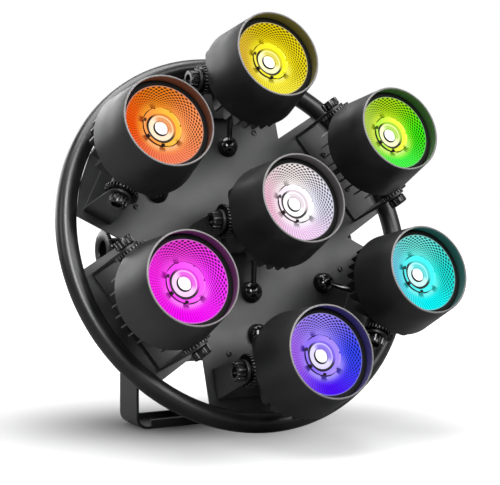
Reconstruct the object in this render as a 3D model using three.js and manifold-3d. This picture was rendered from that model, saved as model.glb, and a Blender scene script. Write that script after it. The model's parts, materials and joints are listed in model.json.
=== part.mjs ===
// A stage wash light: seven tilting lamp heads on a star-shaped face plate inside a tubular hoop,
// with a driver box behind the plate and a yoke that serves as floor stand and hanging bracket.
// Millimetres, +Z up, -Y towards the audience, X along the yoke's tilt axis.
// The origin is on the floor, at the middle of the light's bounding box.

import * as THREE from 'three';
import { mergeVertices } from 'three/addons/utils/BufferGeometryUtils.js';
import Module from 'manifold-3d';

const wasm = await Module();
wasm.setup();

// Gaps and overruns shared by the whole light
const seatGap = 0.3;
const cutOverrun = 2;

// Hoop and face plate
const hoopBeyondHeads = 47.5;
const hoopTubeRadius = 11.5;
const hoopSegments = 42;
const hoopSides = 8;
const hoopAheadOfPlate = 1.5;
const weldGap = 0.6;
const plateThickness = 2.5;
const armWidth = 146;
const armCount = 6;
const armTurn = (2 * Math.PI) / armCount;
const armEndSteps = 4;

// Head places
const roomBetweenKnobs = 18;
const pivotAbovePlate = 69;

// Lamp can, measured along its axis from the head's tilt axis
const skirtToEar = 2;
const canTaper = 9;
const rimForward = 78;
const skirtBack = 16;
const canWall = 2;
const ledgeWidth = 2;
const canSegments = 18;
const lugSegments = 10;
const holeSegments = 6;
const pivotSegments = 10;

// Finned heat sink behind the can
const finCount = 30;
const finSetback = 1.5;
const finHeight = 15.5;
const finSlot = 3.6;
const finLength = 22;
const rearHubStep = 2;
const rearHubLength = 4;

// Toothed friction discs and the lugs that carry them
const lugRadius = 15;
const lugSink = 6;
const discRadius = 18.5;
const discToothDepth = 1.7;
const discTeeth = 10;
const discThickness = 3.6;

// Head bracket
const bracketThickness = 3;
const bracketWidth = 34;
const bracketSpan = 128;
const bracketBend = 4;
const earRadius = 12.5;

// Head knobs
const studRadius = 3;
const studGap = 0.4;
const studDepth = 10;
const studHoleSpare = 2;
const knobRadius = 10.5;
const knobLength = 10;
const knobRibs = 8;
const knobRibDepth = 0.9;
const knobRecessRadius = 5.5;
const knobRecessDepth = 4;

// Reflector and light engine
const reflectorDepth = 12.7;
const reflectorBorder = 7.5;
const reflectorFlange = 1.4;
const reflectorWall = 1.3;
const bowlDepth = 7.3;
const bowlBowShare = 0.62;
const throatGap = 1;
const holderRadius = 21.4;
const holderProud = 2.5;
const holderRim = 7;
const lensSetback = 2.9;
const lensBulge = 1.8;
const engineBody = 5.6;
const engineSegments = 12;

// Head leads and their domed glands
const leadRadius = 3;
const leadSides = 8;
const leadSteps = 6;
const glandRadius = 10.5;
const glandFlange = 1.1;
const glandFlangeHeight = 2;
const glandHeight = 13;
const glandSegments = 8;
const glandFromHead = 52;
const glandFromCenterHead = 64;
const leadEntryFromAxis = 16;
const leadExitHeight = 8.5;
const leadExitPull = 36;
const leadExitRise = 12;
const leadEntryPull = 26;
const leadHoleRadius = 5;

// Driver box behind the plate
const boxWidth = 236;
const boxHeight = 248;
const boxDepth = 75;
const boxWall = 2;
const boxCorner = 8;
const tabWidth = 26;
const tabReach = 17;
const tabThickness = 2;
const tabOffset = 40;
const coverThickness = 2;
const ventCount = 6;
const ventWidth = 7;
const ventMargin = 24;
const ventPitch = 20;
const ventRise = 41;

// Electrical pieces of the driver box
const supplySideGap = 12;
const supplyEndGap = 32;
const supplyBackGap = 9;
const supplyFin = 6;
const supplyFins = 4;
const boardSideGap = 26;
const boardEndGap = 62;
const middleGap = 6;
const boardThickness = 1.6;
const boardStandoff = 12;
const standoffRadius = 3.5;
const inletWidth = 28;
const inletHeight = 48;
const inletFlange = 5;
const inletFlangeThickness = 3;
const inletBodyDepth = 24;
const inletRecess = 14;
const inletRim = 3;

// Yoke and its knobs, in the upright position of the photographed light
const leanAngle = THREE.MathUtils.degToRad(19.5);
const plateAheadOfPivot = 34;
const yokeSideGap = 8;
const yokeThickness = 3;
const yokeWidth = 48;
const yokeBend = 14;
const yokeFlange = 10;
const yokeFlangeSetback = 2;
const clampHoleRadius = 6.5;
const sideHoleRadius = 5.5;
const sideHolePitch = 110;
const pivotStudRadius = 5;
const pivotBossRadius = 14;
const pivotBossInside = 6;
const yokeKnobNeck = 26;
const yokeKnobWall = 3;
const yokeKnobRadius = 23.5;
const yokeKnobLength = 5;
const yokeKnobRibs = 16;
const yokeKnobRibDepth = 1.2;
const yokeKnobRecessRadius = 11;
const yokeKnobRecessDepth = 14;
const yokeStudReach = 8;

// Sizes that follow from the ones above
const headPitch = bracketSpan + 2 * knobLength + roomBetweenKnobs;
const hoopRadius = headPitch + hoopBeyondHeads;
const headHeight = plateAheadOfPivot + pivotAbovePlate;
const hoopPlane = plateAheadOfPivot + hoopAheadOfPlate;
const plateBack = plateAheadOfPivot - plateThickness;
const boxFront = plateBack - seatGap;
const boxBack = boxFront - boxDepth;
const pivotHeight = hoopRadius * Math.cos(leanAngle) + hoopTubeRadius - hoopPlane * Math.sin(leanAngle);
const skirtRadius = bracketSpan / 2 - bracketThickness - skirtToEar;
const rimRadius = skirtRadius - canTaper;
const ledgeRadius = rimRadius - canWall - ledgeWidth;
const ledgeDepth = reflectorDepth + reflectorFlange + seatGap;
const throatDepth = reflectorDepth + bowlDepth;
const holderDepth = throatDepth - holderProud;
const lensDepth = holderDepth + lensSetback;
const chamberDepth = lensDepth + engineBody;
const reflectorRadius = rimRadius - reflectorBorder;
const throatRadius = holderRadius + throatGap;
const lensRadius = holderRadius - holderRim;
const finRadius = skirtRadius - finSetback;
const finRootRadius = finRadius - finHeight;
const rearHubRadius = finRootRadius - rearHubStep;
const lugRoot = finRootRadius - lugSink;
const finBack = skirtBack - finLength;
const hubBack = finBack - rearHubLength;
const earInside = bracketSpan / 2 - bracketThickness;
const discOutside = earInside - seatGap;
const lugFace = discOutside - discThickness;
const canTaperShare = (skirtRadius - rimRadius) / (rimForward - skirtBack);
const chamberFloor = rimForward - chamberDepth;
const glandFlangeRadius = glandRadius + glandFlange;
const ventLength = boxWidth / 2 - 2 * ventMargin;
const supplyWidth = boxWidth / 2 - boxWall - supplySideGap - middleGap;
const supplyHeight = boxHeight - 2 * boxWall - 2 * supplyEndGap;
const supplyDepth = boxDepth - inletBodyDepth - supplyBackGap;
const boardWidth = boxWidth / 2 - boxWall - boardSideGap - middleGap;
const boardHeight = boxHeight - 2 * boxWall - 2 * boardEndGap;
const yokeInside = boxWidth + 2 * yokeSideGap;
const yokeOutside = yokeInside / 2 + yokeThickness;
const yokeFlangeInset = yokeBend + yokeFlangeSetback;
const yokeKnobNeckRadius = yokeKnobRecessRadius + yokeKnobWall;
const studHoleRadius = (studRadius + studGap) / Math.cos(Math.PI / holeSegments);
const pivotHoleRadius = (pivotStudRadius + studGap) / Math.cos(Math.PI / pivotSegments);

// Finishes
const powderBlack = { color: 0x232425, roughness: 0.55, metalness: 0.35 };
const satinBlack = { color: 0x1a1a1b, roughness: 0.42, metalness: 0.3 };
const castBlack = { color: 0x1e1f20, roughness: 0.6, metalness: 0.3 };
const knobBlack = { color: 0x141415, roughness: 0.5, metalness: 0.0 };
const leadBlack = { color: 0x0a0a0b, roughness: 0.25, metalness: 0.0 };
const mirrorSilver = { color: 0xd8d8dc, roughness: 0.15, metalness: 0.9 };
const engineWhite = { color: 0xf2f2ee, roughness: 0.35, metalness: 0.0 };
const boardGreen = { color: 0x1f5a3c, roughness: 0.5, metalness: 0.0 };
const caseSteel = { color: 0x9a9ca0, roughness: 0.4, metalness: 0.8 };
const socketBlue = { color: 0x2b4a80, roughness: 0.45, metalness: 0.0 };

function toSolid(geometry, matrix) {
	const bare = geometry.clone();
	for (const name of Object.keys(bare.attributes)) {
		if (name !== 'position') bare.deleteAttribute(name);
	}
	if (matrix) bare.applyMatrix4(matrix);
	const merged = mergeVertices(bare, 1e-4);
	const index = merged.index ? merged.index.array : [...merged.attributes.position.array.keys()];
	return new wasm.Manifold(new wasm.Mesh({
		numProp: 3,
		vertProperties: new Float32Array(merged.attributes.position.array),
		triVerts: new Uint32Array(index),
	}));
}

function toGeometry(solid) {
	const mesh = solid.getMesh();
	const geometry = new THREE.BufferGeometry();
	geometry.setAttribute('position', new THREE.BufferAttribute(new Float32Array(mesh.vertProperties), 3));
	geometry.setIndex(new THREE.BufferAttribute(new Uint32Array(mesh.triVerts), 1));
	geometry.computeVertexNormals();
	return geometry;
}

function makeMesh(name, shape, finish) {
	const geometry = shape instanceof THREE.BufferGeometry ? shape : toGeometry(shape);
	const mesh = new THREE.Mesh(geometry, new THREE.MeshStandardMaterial(finish));
	mesh.name = name;
	return mesh;
}

function at(x, y, z) {
	return new THREE.Matrix4().makeTranslation(x, y, z);
}

// Turns a solid built along +Z so that it lies along +X
function alongX(x, y, z) {
	return at(x, y, z).multiply(new THREE.Matrix4().makeRotationY(Math.PI / 2));
}

// A solid of revolution about Z from [radius, height] points listed with the material on their left
function revolve(points, segments, matrix) {
	const profile = points.map(([radius, height]) => new THREE.Vector2(radius, height));
	const turned = new THREE.Matrix4().makeRotationX(Math.PI / 2);
	return toSolid(new THREE.LatheGeometry(profile, segments), matrix ? matrix.clone().multiply(turned) : turned);
}

function rod(radius, length, segments, matrix) {
	const geometry = new THREE.CylinderGeometry(radius, radius, length, segments);
	const upright = new THREE.Matrix4().makeRotationX(Math.PI / 2);
	const placed = at(0, 0, length / 2).multiply(upright);
	return toSolid(geometry, matrix ? matrix.clone().multiply(placed) : placed);
}

function block(width, depth, height, x, y, z) {
	return toSolid(new THREE.BoxGeometry(width, depth, height), at(x, y, z));
}

function slab(shape, thickness, matrix, curveSegments = 6) {
	const geometry = new THREE.ExtrudeGeometry(shape, { depth: thickness, bevelEnabled: false, curveSegments });
	return toSolid(geometry, matrix);
}

// A round outline with flat-topped or pointed teeth
function toothedOutline(outer, inner, count, flatShare) {
	const points = [];
	for (let i = 0; i < count; i += 1) {
		const tip = (i / count) * 2 * Math.PI;
		const half = (flatShare * Math.PI) / count;
		points.push(new THREE.Vector2(outer * Math.cos(tip - half), outer * Math.sin(tip - half)));
		if (half > 0) points.push(new THREE.Vector2(outer * Math.cos(tip + half), outer * Math.sin(tip + half)));
		const valley = tip + Math.PI / count;
		points.push(new THREE.Vector2(inner * Math.cos(valley), inner * Math.sin(valley)));
	}
	return new THREE.Shape(points);
}

function roundedRectangle(width, height, radius) {
	const w = width / 2;
	const h = height / 2;
	const shape = new THREE.Shape();
	shape.moveTo(-w + radius, -h);
	shape.lineTo(w - radius, -h);
	shape.absarc(w - radius, -h + radius, radius, -Math.PI / 2, 0);
	shape.absarc(w - radius, h - radius, radius, 0, Math.PI / 2);
	shape.absarc(-w + radius, h - radius, radius, Math.PI / 2, Math.PI);
	shape.absarc(-w + radius, -h + radius, radius, Math.PI, 1.5 * Math.PI);
	return shape;
}

// Angles of the six arms, anticlockwise from the right as the audience sees them
function armAngle(index) {
	return Math.PI / 2 - index * armTurn;
}

function glandPlaces() {
	const places = [[0, -glandFromCenterHead]];
	for (let i = 0; i < armCount; i += 1) {
		const reach = headPitch - glandFromHead;
		places.push([reach * Math.cos(armAngle(i)), reach * Math.sin(armAngle(i))]);
	}
	return places;
}

function makeHoop() {
	const geometry = new THREE.TorusGeometry(hoopRadius, hoopTubeRadius, hoopSides, hoopSegments);
	const hoop = toSolid(geometry, at(0, 0, hoopPlane).multiply(new THREE.Matrix4().makeRotationZ(Math.PI / 2)));
	return makeMesh('hoop', hoop, satinBlack);
}

// The six arms meet in V notches; their ends follow the inside of the hoop
function makeFacePlate() {
	const reach = hoopRadius - hoopTubeRadius - weldGap;
	const halfArm = armWidth / 2;
	const endHalfAngle = Math.asin(halfArm / reach);
	const notchRadius = halfArm / Math.sin(armTurn / 2);
	const shape = new THREE.Shape();
	for (let i = 0; i < armCount; i += 1) {
		const middle = i * armTurn + armTurn / 2;
		for (let step = 0; step <= armEndSteps; step += 1) {
			const angle = middle - endHalfAngle + (2 * endHalfAngle * step) / armEndSteps;
			const x = reach * Math.cos(angle);
			const y = reach * Math.sin(angle);
			if (i === 0 && step === 0) shape.moveTo(x, y);
			else shape.lineTo(x, y);
		}
		const notch = middle + armTurn / 2;
		shape.lineTo(notchRadius * Math.cos(notch), notchRadius * Math.sin(notch));
	}
	for (const [x, y] of glandPlaces()) {
		const hole = new THREE.Path();
		hole.absarc(x, y, leadHoleRadius, 0, 2 * Math.PI, true);
		shape.holes.push(hole);
	}
	const plate = slab(shape, plateThickness, at(0, 0, plateBack), 3);
	return makeMesh('face_plate', plate, powderBlack);
}

// Star section of the heat sink: V-shaped slots between fins that widen outwards
function finOutline() {
	const points = [];
	const half = Math.PI / finCount;
	for (let i = 0; i < finCount; i += 1) {
		const middle = 2 * half * i;
		const tipHalf = half - finSlot / 2 / finRadius;
		points.push([finRadius, middle - tipHalf], [finRadius, middle + tipHalf], [finRootRadius, middle + half]);
	}
	return new THREE.Shape(points.map(([r, angle]) => new THREE.Vector2(r * Math.cos(angle), r * Math.sin(angle))));
}

// The casting: tapered can, finned heat sink, rear hub and two lugs with toothed discs
function makeCan(name) {
	const front = rimForward;
	const innerAt = (z) => rimRadius + (front - z) * canTaperShare - canWall;
	const ledge = front - ledgeDepth;
	let can = revolve([
		[0, skirtBack], [skirtRadius, skirtBack], [rimRadius, front], [innerAt(front), front],
		[innerAt(ledge), ledge], [ledgeRadius, ledge], [ledgeRadius, chamberFloor], [0, chamberFloor],
	], canSegments);
	can = can.add(slab(finOutline(), finLength + cutOverrun, at(0, 0, finBack)));
	can = can.add(rod(rearHubRadius, rearHubLength + cutOverrun, lugSegments, at(0, 0, hubBack)));
	for (const side of [1, -1]) {
		const turned = new THREE.Matrix4().makeRotationZ(side > 0 ? 0 : Math.PI);
		const lugLength = lugFace + cutOverrun - lugRoot;
		const lug = rod(lugRadius, lugLength, lugSegments, turned.clone().multiply(alongX(lugRoot, 0, 0)));
		const teeth = toothedOutline(discRadius, discRadius - discToothDepth, discTeeth, 0);
		const disc = slab(teeth, discThickness, turned.clone().multiply(alongX(lugFace, 0, 0)));
		can = can.add(lug).add(disc);
		const holeBottom = discOutside - studDepth - studHoleSpare;
		const hole = rod(studHoleRadius, discOutside + cutOverrun - holeBottom, holeSegments,
			turned.clone().multiply(alongX(holeBottom, 0, 0)));
		can = can.subtract(hole);
	}
	return makeMesh(name, can, castBlack);
}

// A folded U: base on the plate, two ears that narrow to a round end at the tilt axis
function makeBracket(name) {
	const base = -pivotAbovePlate + seatGap;
	const half = bracketSpan / 2;
	const top = earRadius;
	const section = new THREE.Shape();
	section.moveTo(-half, top);
	section.lineTo(-half, base + bracketBend);
	section.absarc(-half + bracketBend, base + bracketBend, bracketBend, Math.PI, 1.5 * Math.PI);
	section.lineTo(half - bracketBend, base);
	section.absarc(half - bracketBend, base + bracketBend, bracketBend, -Math.PI / 2, 0);
	section.lineTo(half, top);
	section.lineTo(half - bracketThickness, top);
	section.lineTo(half - bracketThickness, base + bracketThickness);
	section.lineTo(-half + bracketThickness, base + bracketThickness);
	section.lineTo(-half + bracketThickness, top);
	const onEdge = new THREE.Matrix4().makeRotationX(Math.PI / 2);
	const bent = slab(section, bracketWidth, at(0, bracketWidth / 2, 0).multiply(onEdge), 1);
	const side = new THREE.Shape();
	const foot = bracketWidth / 2;
	side.moveTo(-foot, base - cutOverrun);
	side.lineTo(foot, base - cutOverrun);
	side.lineTo(foot, base + bracketBend);
	side.absarc(0, 0, earRadius, 0, Math.PI);
	side.lineTo(-foot, base + bracketBend);
	const hole = new THREE.Path();
	hole.absarc(0, 0, studHoleRadius, 0, 2 * Math.PI, true);
	side.holes.push(hole);
	const toSide = new THREE.Matrix4().makeBasis(
		new THREE.Vector3(0, 1, 0), new THREE.Vector3(0, 0, 1), new THREE.Vector3(1, 0, 0));
	const mask = slab(side, bracketSpan + 2 * cutOverrun, at(-half - cutOverrun, 0, 0).multiply(toSide), 3);
	return makeMesh(name, bent.intersect(mask), powderBlack);
}

// A ribbed hand knob with its stud, built along +X and turned to its side
function makeKnob(name, side) {
	const face = bracketSpan / 2 + seatGap;
	const turned = new THREE.Matrix4().makeRotationZ(side > 0 ? 0 : Math.PI);
	const grip = toothedOutline(knobRadius, knobRadius - knobRibDepth, knobRibs, 0);
	let knob = slab(grip, knobLength, turned.clone().multiply(alongX(face, 0, 0)));
	const recess = rod(knobRecessRadius, knobRecessDepth + cutOverrun, holeSegments,
		turned.clone().multiply(alongX(face + knobLength - knobRecessDepth, 0, 0)));
	const studStart = discOutside - studDepth;
	const stud = rod(studRadius, face + cutOverrun - studStart, holeSegments, turned.clone().multiply(alongX(studStart, 0, 0)));
	knob = knob.subtract(recess).add(stud);
	return makeMesh(name, knob, knobBlack);
}

// Shallow bowl with a flange that rests on the can's ledge
function makeReflector(name) {
	const front = rimForward - reflectorDepth;
	const flangeRadius = rimRadius + reflectorDepth * canTaperShare - canWall - seatGap;
	const throat = rimForward - throatDepth;
	const bowRadius = throatRadius + (reflectorRadius - throatRadius) * bowlBowShare;
	const bowHeight = throat + (front - throat) * bowlBowShare * bowlBowShare;
	const bowl = revolve([
		[throatRadius, throat - reflectorWall], [reflectorRadius + reflectorWall, front - reflectorFlange],
		[flangeRadius, front - reflectorFlange],
		[flangeRadius, front], [reflectorRadius, front], [bowRadius, bowHeight], [throatRadius, throat],
		[throatRadius, throat - reflectorWall],
	], canSegments);
	return makeMesh(name, bowl, mirrorSilver);
}

// Light engine: round holder with a domed lens set back inside it
function makeEmitter(name) {
	const base = chamberFloor + seatGap;
	const holder = rimForward - holderDepth;
	const lens = rimForward - lensDepth;
	const emitter = revolve([
		[0, base], [holderRadius, base], [holderRadius, holder], [lensRadius, holder],
		[lensRadius, lens], [0, lens + lensBulge],
	], engineSegments);
	return makeMesh(name, emitter, engineWhite);
}

// Domed gland on the plate and the lead that leaves its side and bends up into the rear hub
function makeLead(name, fromHead) {
	const plate = -pivotAbovePlate + seatGap;
	const shoulder = plate + glandFlangeHeight;
	const domeTop = plate + glandHeight;
	const domeRise = domeTop - shoulder;
	const profile = [[0, plate], [glandFlangeRadius, plate], [glandFlangeRadius, shoulder]];
	const domeSteps = 2;
	for (let i = 0; i < domeSteps; i += 1) {
		const angle = (i / domeSteps) * (Math.PI / 2);
		profile.push([glandRadius * Math.cos(angle), shoulder + domeRise * Math.sin(angle)]);
	}
	profile.push([0, domeTop]);
	const gland = revolve(profile, glandSegments, at(0, -fromHead, 0));
	const exit = plate + leadExitHeight;
	const entry = hubBack - seatGap;
	const curve = new THREE.CubicBezierCurve3(
		new THREE.Vector3(0, -fromHead, exit),
		new THREE.Vector3(0, leadExitPull - fromHead, exit + leadExitRise),
		new THREE.Vector3(0, -leadEntryFromAxis, entry - leadEntryPull),
		new THREE.Vector3(0, -leadEntryFromAxis, entry));
	const section = new THREE.Shape();
	section.absarc(0, 0, leadRadius, 0, 2 * Math.PI);
	const tube = new THREE.ExtrudeGeometry(section, {
		steps: leadSteps, extrudePath: curve, bevelEnabled: false, curveSegments: leadSides / 2,
	});
	return makeMesh(name, gland.add(toSolid(tube)), leadBlack);
}

function makeHead(name, fromHead) {
	const head = new THREE.Group();
	head.add(makeBracket(`${name}_bracket`));
	head.add(makeCan(`${name}_can`));
	head.add(makeReflector(`${name}_reflector`));
	head.add(makeEmitter(`${name}_emitter`));
	head.add(makeKnob(`${name}_knob_a`, -1));
	head.add(makeKnob(`${name}_knob_b`, 1));
	head.add(makeLead(`${name}_lead`, fromHead));
	return head;
}

// Four walls of folded sheet with screw tabs at the front and a threaded boss on each side
function makeDriverHousing() {
	const outside = roundedRectangle(boxWidth, boxHeight, boxCorner);
	const inside = roundedRectangle(boxWidth - 2 * boxWall, boxHeight - 2 * boxWall, boxCorner - boxWall);
	const depth = boxDepth - coverThickness - seatGap;
	const start = boxFront - depth;
	let box = slab(outside, depth, at(0, 0, start), 2);
	box = box.subtract(slab(inside, depth + 2 * cutOverrun, at(0, 0, start - cutOverrun), 2));
	const tabMiddle = boxFront - tabThickness / 2;
	const tabLength = tabReach + boxWall;
	for (const sign of [1, -1]) {
		for (const offset of [tabOffset, -tabOffset]) {
			const highMiddle = sign * (boxHeight / 2 - boxWall + tabLength / 2);
			const wideMiddle = sign * (boxWidth / 2 - boxWall + tabLength / 2);
			box = box.add(block(tabWidth, tabLength, tabThickness, offset, highMiddle, tabMiddle));
			box = box.add(block(tabLength, tabWidth, tabThickness, wideMiddle, offset, tabMiddle));
		}
		const turned = new THREE.Matrix4().makeRotationZ(sign > 0 ? 0 : Math.PI);
		const bossStart = boxWidth / 2 - boxWall - pivotBossInside;
		const bossEnd = yokeInside / 2 - seatGap;
		const boss = rod(pivotBossRadius, bossEnd - bossStart, pivotSegments, turned.clone().multiply(alongX(bossStart, 0, 0)));
		const bore = rod(pivotHoleRadius, bossEnd - bossStart + 2 * cutOverrun, pivotSegments,
			turned.clone().multiply(alongX(bossStart - cutOverrun, 0, 0)));
		box = box.add(boss).subtract(bore);
	}
	return makeMesh('driver_housing', box, powderBlack);
}

// Back panel with two columns of vent slots and the cut-out for the power inlet
function makeRearCover() {
	let cover = slab(roundedRectangle(boxWidth, boxHeight, boxCorner), coverThickness, at(0, 0, boxBack), 2);
	const cutMiddle = boxBack + coverThickness / 2;
	const cutDepth = coverThickness + 2 * cutOverrun;
	for (let i = 0; i < ventCount; i += 1) {
		const y = ventRise + (i - (ventCount - 1) / 2) * ventPitch;
		cover = cover.subtract(block(ventLength, ventWidth, cutDepth, boxWidth / 4, y, cutMiddle));
		cover = cover.subtract(block(ventLength, ventWidth, cutDepth, -boxWidth / 4, y, cutMiddle));
	}
	const inletHole = block(inletWidth + 2 * seatGap, inletHeight + 2 * seatGap, cutDepth,
		0, -boxHeight / 2 + inletHeight, cutMiddle);
	cover = cover.subtract(inletHole);
	return makeMesh('rear_cover', cover, powderBlack);
}

// Snap-in power inlet: flange outside the cover, body inside, deep recess for the plug
function makePowerInlet() {
	const y = -boxHeight / 2 + inletHeight;
	const flangeMiddle = boxBack - seatGap - inletFlangeThickness / 2;
	const bodyFront = boxBack - seatGap - inletFlangeThickness;
	let inlet = block(inletWidth + 2 * inletFlange, inletHeight + 2 * inletFlange, inletFlangeThickness, 0, y, flangeMiddle);
	inlet = inlet.add(block(inletWidth, inletHeight, inletBodyDepth, 0, y, bodyFront + inletBodyDepth / 2));
	inlet = inlet.subtract(block(inletWidth - 2 * inletRim, inletHeight / 2, inletRecess + cutOverrun,
		0, y, bodyFront + (inletRecess - cutOverrun) / 2));
	return makeMesh('power_inlet', inlet, socketBlue);
}

// Power supply for the heads: a finned metal case on the back of the plate
function makePowerSupply() {
	const x = -supplyWidth / 2 - middleGap;
	const front = plateBack - seatGap;
	let supply = block(supplyWidth, supplyHeight, supplyDepth, x, 0, front - supplyDepth / 2);
	for (let i = 0; i < supplyFins; i += 1) {
		const fy = (i - (supplyFins - 1) / 2) * (supplyHeight / supplyFins);
		const groove = block(supplyWidth + 2 * cutOverrun, supplyFin, 2 * supplyFin, x, fy, front - supplyDepth);
		supply = supply.subtract(groove);
	}
	return makeMesh('power_supply', supply, caseSteel);
}

// Control board on four posts
function makeControlBoard() {
	const x = boardWidth / 2 + middleGap;
	const front = plateBack - seatGap;
	const boardFront = front - boardStandoff;
	let board = block(boardWidth, boardHeight, boardThickness, x, 0, boardFront - boardThickness / 2);
	for (const sx of [1, -1]) {
		for (const sy of [1, -1]) {
			const px = x + sx * (boardWidth / 2 - 2 * standoffRadius);
			const py = sy * (boardHeight / 2 - 2 * standoffRadius);
			board = board.add(rod(standoffRadius, boardStandoff + boardThickness / 2, 8, at(px, py, boardFront - boardThickness / 2)));
		}
	}
	return makeMesh('control_board', board, boardGreen);
}

// Flat bar bent to a U, with round ends at the tilt axis and upturned edges along the foot
function makeYoke() {
	const half = yokeOutside;
	const top = pivotHeight + yokeWidth / 2;
	const section = new THREE.Shape();
	section.moveTo(-half, top);
	section.lineTo(-half, yokeBend);
	section.absarc(-half + yokeBend, yokeBend, yokeBend, Math.PI, 1.5 * Math.PI);
	section.lineTo(half - yokeBend, 0);
	section.absarc(half - yokeBend, yokeBend, yokeBend, -Math.PI / 2, 0);
	section.lineTo(half, top);
	section.lineTo(half - yokeThickness, top);
	section.lineTo(half - yokeThickness, yokeBend);
	section.absarc(half - yokeBend, yokeBend, yokeBend - yokeThickness, 0, -Math.PI / 2, true);
	section.lineTo(-half + yokeBend, yokeThickness);
	section.absarc(-half + yokeBend, yokeBend, yokeBend - yokeThickness, -Math.PI / 2, -Math.PI, true);
	section.lineTo(-half + yokeThickness, top);
	const onEdge = new THREE.Matrix4().makeRotationX(Math.PI / 2);
	const bent = slab(section, yokeWidth, at(0, yokeWidth / 2, 0).multiply(onEdge), 3);
	const side = new THREE.Shape();
	side.moveTo(-yokeWidth / 2, -cutOverrun);
	side.lineTo(yokeWidth / 2, -cutOverrun);
	side.lineTo(yokeWidth / 2, pivotHeight);
	side.absarc(0, pivotHeight, yokeWidth / 2, 0, Math.PI);
	const hole = new THREE.Path();
	hole.absarc(0, pivotHeight, pivotHoleRadius, 0, 2 * Math.PI, true);
	side.holes.push(hole);
	const toSide = new THREE.Matrix4().makeBasis(
		new THREE.Vector3(0, 1, 0), new THREE.Vector3(0, 0, 1), new THREE.Vector3(1, 0, 0));
	let yoke = bent.intersect(slab(side, 2 * half + 2 * cutOverrun, at(-half - cutOverrun, 0, 0).multiply(toSide), 6));
	const flangeLength = 2 * (half - yokeFlangeInset);
	for (const edge of [1, -1]) {
		const y = edge * (yokeWidth / 2 - yokeThickness / 2);
		yoke = yoke.add(block(flangeLength, yokeThickness, yokeFlange, 0, y, yokeFlange / 2));
	}
	for (const [x, radius] of [[0, clampHoleRadius], [-sideHolePitch / 2, sideHoleRadius], [sideHolePitch / 2, sideHoleRadius]]) {
		yoke = yoke.subtract(rod(radius, yokeThickness + 2 * cutOverrun, 10, at(x, 0, -cutOverrun)));
	}
	return makeMesh('yoke', yoke, satinBlack);
}

// Hand wheel that clamps the yoke: a ribbed disc on a long recessed neck, with its stud in the boss
function makeYokeKnob(name, side) {
	const start = yokeOutside + seatGap;
	const gripStart = start + yokeKnobNeck;
	const turned = new THREE.Matrix4().makeRotationZ(side > 0 ? 0 : Math.PI);
	const grip = toothedOutline(yokeKnobRadius, yokeKnobRadius - yokeKnobRibDepth, yokeKnobRibs, 0);
	let knob = slab(grip, yokeKnobLength, turned.clone().multiply(alongX(gripStart, 0, 0)));
	knob = knob.add(rod(yokeKnobNeckRadius, yokeKnobNeck + cutOverrun, 12, turned.clone().multiply(alongX(start, 0, 0))));
	knob = knob.subtract(rod(yokeKnobRecessRadius, yokeKnobRecessDepth + cutOverrun, 12,
		turned.clone().multiply(alongX(gripStart + yokeKnobLength - yokeKnobRecessDepth, 0, 0))));
	const studStart = start - seatGap - yokeThickness - yokeStudReach;
	knob = knob.add(rod(pivotStudRadius, start + cutOverrun - studStart, pivotSegments, turned.clone().multiply(alongX(studStart, 0, 0))));
	return makeMesh(name, knob, knobBlack);
}

// The fixture hangs on the tilt axis and leans back as it stands in the photograph
function makeFixture() {
	const fixture = new THREE.Group();
	fixture.add(makeHoop());
	fixture.add(makeFacePlate());
	fixture.add(makeDriverHousing());
	fixture.add(makeRearCover());
	fixture.add(makePowerInlet());
	fixture.add(makePowerSupply());
	fixture.add(makeControlBoard());
	const centerHead = makeHead('center', glandFromCenterHead);
	centerHead.position.set(0, 0, headHeight);
	fixture.add(centerHead);
	const names = ['top', 'upper_right', 'lower_right', 'bottom', 'lower_left', 'upper_left'];
	names.forEach((name, i) => {
		const head = makeHead(name, glandFromHead);
		head.position.set(headPitch * Math.cos(armAngle(i)), headPitch * Math.sin(armAngle(i)), headHeight);
		head.rotation.z = armAngle(i) - Math.PI / 2;
		fixture.add(head);
	});
	fixture.add(makeYokeKnob('yoke_knob_left', -1));
	fixture.add(makeYokeKnob('yoke_knob_right', 1));
	fixture.position.set(0, 0, pivotHeight);
	fixture.rotation.x = Math.PI / 2 - leanAngle;
	return fixture;
}

const light = new THREE.Group();
light.add(makeYoke());
light.add(makeFixture());
light.updateMatrixWorld(true);
const bounds = new THREE.Box3().setFromObject(light, true);
const middle = bounds.getCenter(new THREE.Vector3());
light.position.set(-middle.x, -middle.y, -bounds.min.z);

export default light;
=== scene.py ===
import json
import math
from functools import partial

import bpy
from mathutils import Matrix, Vector


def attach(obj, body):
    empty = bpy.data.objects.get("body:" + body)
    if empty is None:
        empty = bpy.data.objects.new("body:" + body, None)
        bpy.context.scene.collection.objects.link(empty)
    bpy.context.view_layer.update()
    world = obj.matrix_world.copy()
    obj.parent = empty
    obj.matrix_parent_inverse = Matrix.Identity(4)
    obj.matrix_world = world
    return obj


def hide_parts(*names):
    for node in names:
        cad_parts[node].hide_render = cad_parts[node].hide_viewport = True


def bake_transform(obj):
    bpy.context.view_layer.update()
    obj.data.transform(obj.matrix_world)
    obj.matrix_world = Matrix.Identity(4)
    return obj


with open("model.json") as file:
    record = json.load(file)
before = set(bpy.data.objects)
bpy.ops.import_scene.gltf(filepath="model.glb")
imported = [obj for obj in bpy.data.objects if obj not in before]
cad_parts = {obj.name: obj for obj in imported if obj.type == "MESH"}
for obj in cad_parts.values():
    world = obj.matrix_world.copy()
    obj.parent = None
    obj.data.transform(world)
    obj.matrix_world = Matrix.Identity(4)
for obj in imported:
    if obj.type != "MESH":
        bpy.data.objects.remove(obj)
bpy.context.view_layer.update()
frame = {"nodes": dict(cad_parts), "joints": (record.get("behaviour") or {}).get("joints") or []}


# Studio: white paper on the floor and behind, with a soft shade round the light's
# foot. Large soft lamps are over and round it, and a narrow one above the camera
# shows only in gloss, as the streak on the hoop's left side.

scene = bpy.context.scene
scene.view_settings.view_transform = "Standard"


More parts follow.
